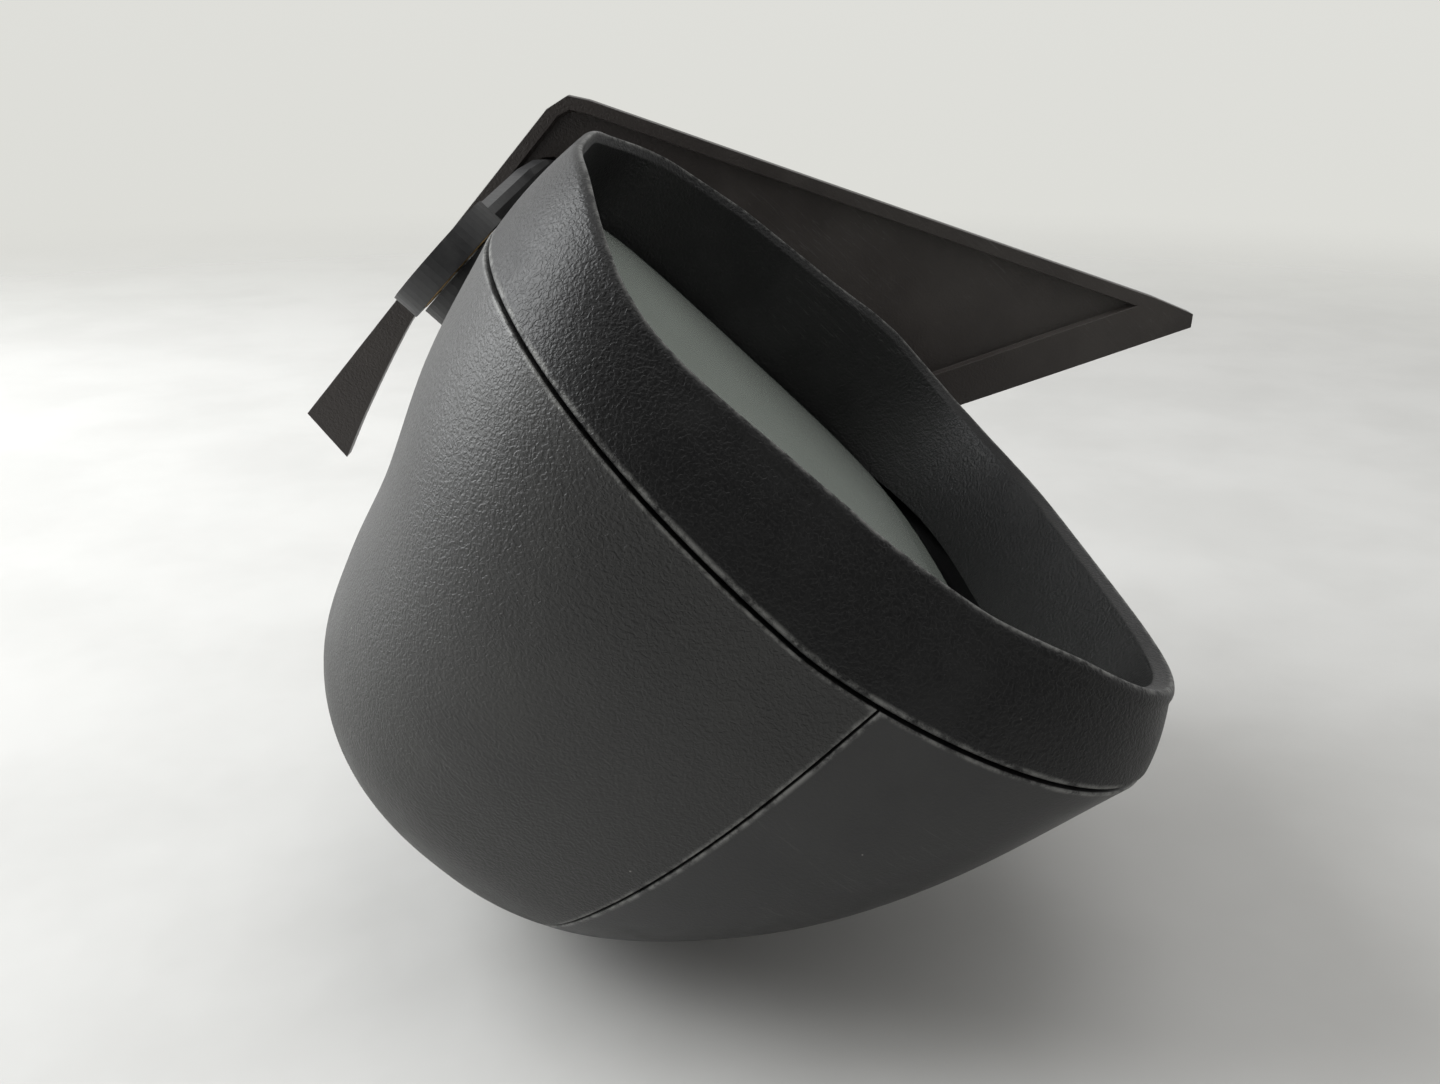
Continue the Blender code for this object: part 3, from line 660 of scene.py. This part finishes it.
def mirror_material():
    """Silvered glass, a little green, under a haze of dust."""
    g = Graph("mirror_film")
    film = g.noise(55.0, 4.0, 0.6)
    dots = g.specks(260.0, 0.02, 0.2)
    haze = g.ramp(film, 0.4, 0.75)
    tint = g.mix(g.math("MULTIPLY", haze, 0.25), (0.72, 0.79, 0.72), (0.58, 0.64, 0.58))
    tint = g.mix(g.math("MULTIPLY", dots, 0.5), tint, (0.75, 0.75, 0.72))
    shine = g.math("SUBTRACT", 0.5, g.math("MULTIPLY", dots, 0.4))
    gloss = g.math("ADD", g.ramp(film, 0.35, 0.8, 0.03, 0.10), g.math("MULTIPLY", dots, 0.3))
    return g.set(Base_Color=tint, Roughness=gloss, Metallic=shine, IOR=1.9,
                 Normal=g.bump(g.noise(18.0, 2.0), 0.00001))


def heater_material():
    """Etched foil tracks on amber film."""
    g = Graph("heater_foil")
    node = g.tree.nodes.new("ShaderNodeTexWave")
    g.tree.links.new(g.where, node.inputs["Vector"])
    node.bands_direction = "Z"
    node.inputs["Scale"].default_value = 60.0
    node.inputs["Distortion"].default_value = 1.5
    track = g.ramp(node.outputs["Fac"], 0.45, 0.55)
    tint = g.mix(track, (0.34, 0.15, 0.04), (0.5, 0.27, 0.12))
    stain = g.math("MULTIPLY", g.ramp(g.noise(160.0, 4.0), 0.5, 0.7), 0.4)
    tint = g.mix(stain, tint, (0.2, 0.1, 0.05))
    return g.set(Base_Color=tint, Roughness=g.ramp(g.noise(400.0), 0.3, 0.7, 0.35, 0.5), Metallic=0.35,
                 Normal=g.bump(track, 0.00005))


def rubber(name):
    g = Graph(name)
    tint = g.mix(g.ramp(g.noise(120.0, 4.0, 0.6), 0.42, 0.72), (0.012, 0.012, 0.012),
                 (0.045, 0.044, 0.042))
    tint = g.mix(g.math("MULTIPLY", g.specks(500.0, 0.05), 0.5), tint, (0.35, 0.34, 0.31))
    return g.set(Base_Color=tint, Roughness=g.ramp(g.noise(700.0), 0.3, 0.7, 0.72, 0.9),
                 Normal=g.bump(g.noise(1500.0, 2.0), 0.00005))


MATS = {
    "shell": plastic("shell_grained", (0.0135, 0.0133, 0.0128), (0.040, 0.040, 0.037), 0.47,
                     edge=True, wave=0.35),
    "bezel": plastic("bezel_grained", (0.0048, 0.0048, 0.0051), (0.018, 0.018, 0.018), 0.47, 1.1,
                     edge=True, dusty=0.35, ior=1.4),
    "cap": plastic("cap_satin", (0.0125, 0.0125, 0.0130), (0.032, 0.032, 0.031), 0.36, 0.16, 1900.0,
                   edge=True),
    "sail": plastic("sail_grained", (0.038, 0.032, 0.029), (0.070, 0.062, 0.056), 0.46, 0.6, 1600.0),
    "inner": plastic("inner_plain", (0.016, 0.016, 0.017), (0.045, 0.045, 0.043), 0.5, 0.3, 1500.0),
    "nylon": plastic("nylon_pale", (0.52, 0.50, 0.43), (0.36, 0.34, 0.29), 0.42, 0.3, 1500.0,
                     dusty=0.7),
    "cast": metal("cast_painted", (0.022, 0.022, 0.023), (0.04, 0.04, 0.04), 0.5, 700.0,
                  (0.12, 0.12, 0.12), 0.4, 0.0),
    "steel": metal("steel_plated", (0.56, 0.55, 0.52), (0.36, 0.35, 0.33), 0.30),
    "bronze": metal("bronze_sintered", (0.52, 0.36, 0.17), (0.3, 0.2, 0.1), 0.42, 1500.0),
    "can": metal("motor_can", (0.6, 0.6, 0.6), (0.45, 0.45, 0.44), 0.28),
    "mirror": mirror_material(),
    "heater": heater_material(),
    "rubber": rubber("rubber_black"),
}


def dress(obj, mat):
    obj.data.materials.clear()
    obj.data.materials.append(MATS[mat])


# ---- pieces -----------------------------------------------------------------
def piece(obj, body, node, mat):
    """A visual piece that rides on a body in place of one CAD node."""
    dress(obj, mat)
    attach(obj, body)
    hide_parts(node)


lower = shell("shell_lower", upper=False)
boss_hole(lower)
piece(lower, "head", "lower_shell", "shell")
piece(shell("shell_top_cap", upper=True), "head", "top_cap", "cap")
piece(bezel(), "head", "bezel", "bezel")
piece(glass(), "glass", "mirror_glass", "mirror")
piece(sail(), "foot", "sail_cover", "sail")
for number, (stud_y, stud_z) in enumerate(STUDS):
    piece(threaded_stud(number, stud_y, stud_z), "foot", "mount_stud_%d" % (number + 1),
          "steel")

CARRIED = {
    "sail_base": "cast", "sail_gasket": "rubber", "wire_grommet": "rubber", "pivot_tube": "steel",
    "detent_ring": "bronze", "spring_washer": "steel", "retaining_clip": "steel",
    "fold_spring": "steel", "carrier": "inner", "adjuster_housing": "inner", "motor_1": "can",
    "motor_2": "can", "adjuster_screw_1": "steel", "adjuster_screw_2": "steel",
    "adjuster_screw_3": "steel", "tilt_cross": "nylon", "backing_plate": "inner",
    "heater_pad": "heater", "up_jack": "nylon", "side_jack": "nylon",
}
SOFTEN = {
    "sail_base": 0.6, "backing_plate": 0.35, "carrier": 0.3, "adjuster_housing": 0.3,
    "tilt_cross": 0.3, "sail_gasket": 0.3,
}
for node_name, mat_name in CARRIED.items():
    node_obj = frame["nodes"][node_name]
    dress(node_obj, mat_name)
    if node_name in SOFTEN:
        step = node_obj.modifiers.new("edges", "BEVEL")
        step.width, step.segments, step.limit_method = SOFTEN[node_name] * MM, 2, "ANGLE"
        step.angle_limit = math.radians(40)


# ---- camera -----------------------------------------------------------------
CAMERA_AT = (0.38856, -0.05051, -0.04710)
RIGHT = Vector((0.0, -0.6820, 0.7314))
UP = Vector((-0.3090, -0.6956, -0.6486))
BACK = Vector((0.9511, -0.2260, -0.2107))
camera_data = bpy.data.cameras.new("camera")
camera_data.lens, camera_data.sensor_width = 40.0, 36.0
camera_data.clip_start, camera_data.clip_end = 0.01, 50.0
camera = bpy.data.objects.new("camera", camera_data)
axes = Matrix((RIGHT, UP, BACK)).transposed().to_4x4()
camera.matrix_world = Matrix.Translation(CAMERA_AT) @ axes
bpy.context.scene.collection.objects.link(camera)
bpy.context.scene.camera = camera

# ---- floor: the table the mirror lies on, on its upper side ------------------
TABLE_UP = Vector((0.0, -0.7314, -0.6820))
TABLE_LOW = 0.0908
FLOOR_MIDDLE = Vector((0.095, 0.0, 0.0)) - TABLE_UP * TABLE_LOW
FLOOR_REACH, FADE_FROM, FADE_TO = 1.5, 0.45, 1.2
FLOOR_RINGS, FLOOR_AROUND = 40, 96


def floor():
    """A pale disc that fades out, and that is clear from behind."""
    side = Vector((1.0, 0.0, 0.0))
    ahead = TABLE_UP.cross(side)
    turns = [2 * math.pi * i / FLOOR_AROUND for i in range(FLOOR_AROUND)]
    bm = bmesh.new()
    rows = []
    for r in range(1, FLOOR_RINGS + 1):
        radius = FLOOR_REACH * (r / FLOOR_RINGS) ** 1.6
        rows.append([bm.verts.new(FLOOR_MIDDLE + (side * math.cos(a) + ahead * math.sin(a)) * radius)
                     for a in turns])
    centre = bm.verts.new(FLOOR_MIDDLE)
    for i in range(FLOOR_AROUND):
        bm.faces.new((centre, rows[0][i], rows[0][(i + 1) % FLOOR_AROUND]))
    for a, b in zip(rows, rows[1:]):
        for i in range(FLOOR_AROUND):
            j = (i + 1) % FLOOR_AROUND
            bm.faces.new((a[i], b[i], b[j], a[j]))
    bm.normal_update()
    bm.faces.ensure_lookup_table()
    if bm.faces[0].normal.dot(TABLE_UP) < 0:
        bmesh.ops.reverse_faces(bm, faces=bm.faces)
    made = new_object("studio_floor", bm)
    g = Graph("floor_pale")
    far = g.tree.nodes.new("ShaderNodeVectorMath")
    far.operation = "DISTANCE"
    g.tree.links.new(g.where, far.inputs[0])
    far.inputs[1].default_value = FLOOR_MIDDLE
    facing = g.tree.nodes.new("ShaderNodeNewGeometry").outputs["Backfacing"]
    mottle = g.noise(14.0, 4.0, 0.55)
    tint = g.mix(g.ramp(mottle, 0.35, 0.7), (0.585, 0.58, 0.565), (0.545, 0.54, 0.525))
    show = g.ramp(far.outputs["Value"], FADE_TO, FADE_FROM)
    solid = g.math("MULTIPLY", show, g.math("SUBTRACT", 1.0, facing))
    g.set(Base_Color=tint, Roughness=0.85, Alpha=solid, Normal=g.bump(g.noise(30.0, 3.0), 0.0006))
    made.data.materials.append(g.mat)


floor()


# ---- studio light -------------------------------------------------------------
LIT_POINT = Vector((0.09, 0.0, 0.0))
LIGHT_AWAY = 1.0


def area(name, toward, size, power, colour=(1, 1, 1)):
    """A round soft light that faces the object from one direction."""
    data = bpy.data.lights.new(name, "AREA")
    data.shape, data.size, data.energy, data.color = "DISK", size, power, colour
    light = bpy.data.objects.new(name, data)
    direction = Vector(toward).normalized()
    light.location = LIT_POINT + direction * LIGHT_AWAY
    light.rotation_euler = direction.to_track_quat("Z", "Y").to_euler()
    bpy.context.scene.collection.objects.link(light)


def world():
    """Even light with one dark patch, and a plain pale backdrop to the camera."""
    made = bpy.data.worlds.new("studio")
    bpy.context.scene.world = made
    made.use_nodes = True
    tree = made.node_tree
    tree.nodes.clear()
    new, link = tree.nodes.new, tree.links.new
    out = new("ShaderNodeOutputWorld")
    where = new("ShaderNodeTexCoord").outputs["Generated"]

    def toward(direction, low, high):
        dot = new("ShaderNodeVectorMath")
        dot.operation = "DOT_PRODUCT"
        link(where, dot.inputs[0])
        dot.inputs[1].default_value = Vector(direction).normalized()
        node = new("ShaderNodeMapRange")
        node.interpolation_type = "SMOOTHSTEP"
        link(dot.outputs["Value"], node.inputs["Value"])
        node.inputs["From Min"].default_value = low
        node.inputs["From Max"].default_value = high
        return node.outputs["Result"]

    def blend(share, a, b):
        node = new("ShaderNodeMix")
        node.data_type = "RGBA"
        link(share, node.inputs["Factor"])
        for value, socket in ((a, node.inputs[6]), (b, node.inputs[7])):
            if isinstance(value, tuple):
                socket.default_value = (*value, 1.0)
            else:
                link(value, socket)
        return node.outputs[2]

    seen = blend(toward(TABLE_UP, -0.5, 0.6), (0.70, 0.70, 0.66), (0.78, 0.78, 0.75))
    light = blend(toward((0.93, -0.30, 0.20), 0.56, 0.88), (0.69, 0.69, 0.68),
                  (0.05, 0.05, 0.052))
    path = new("ShaderNodeLightPath").outputs["Is Camera Ray"]
    back = new("ShaderNodeBackground")
    link(blend(path, light, seen), back.inputs["Color"])
    link(back.outputs[0], out.inputs[0])


world()
area("window", (-0.1545, 0.20, -0.946), 1.0, 15.5, (0.97, 0.99, 1.0))
area("top", (0.1, -0.80, -0.55), 0.6, 1.6)

bpy.context.scene.view_settings.view_transform = "Standard"
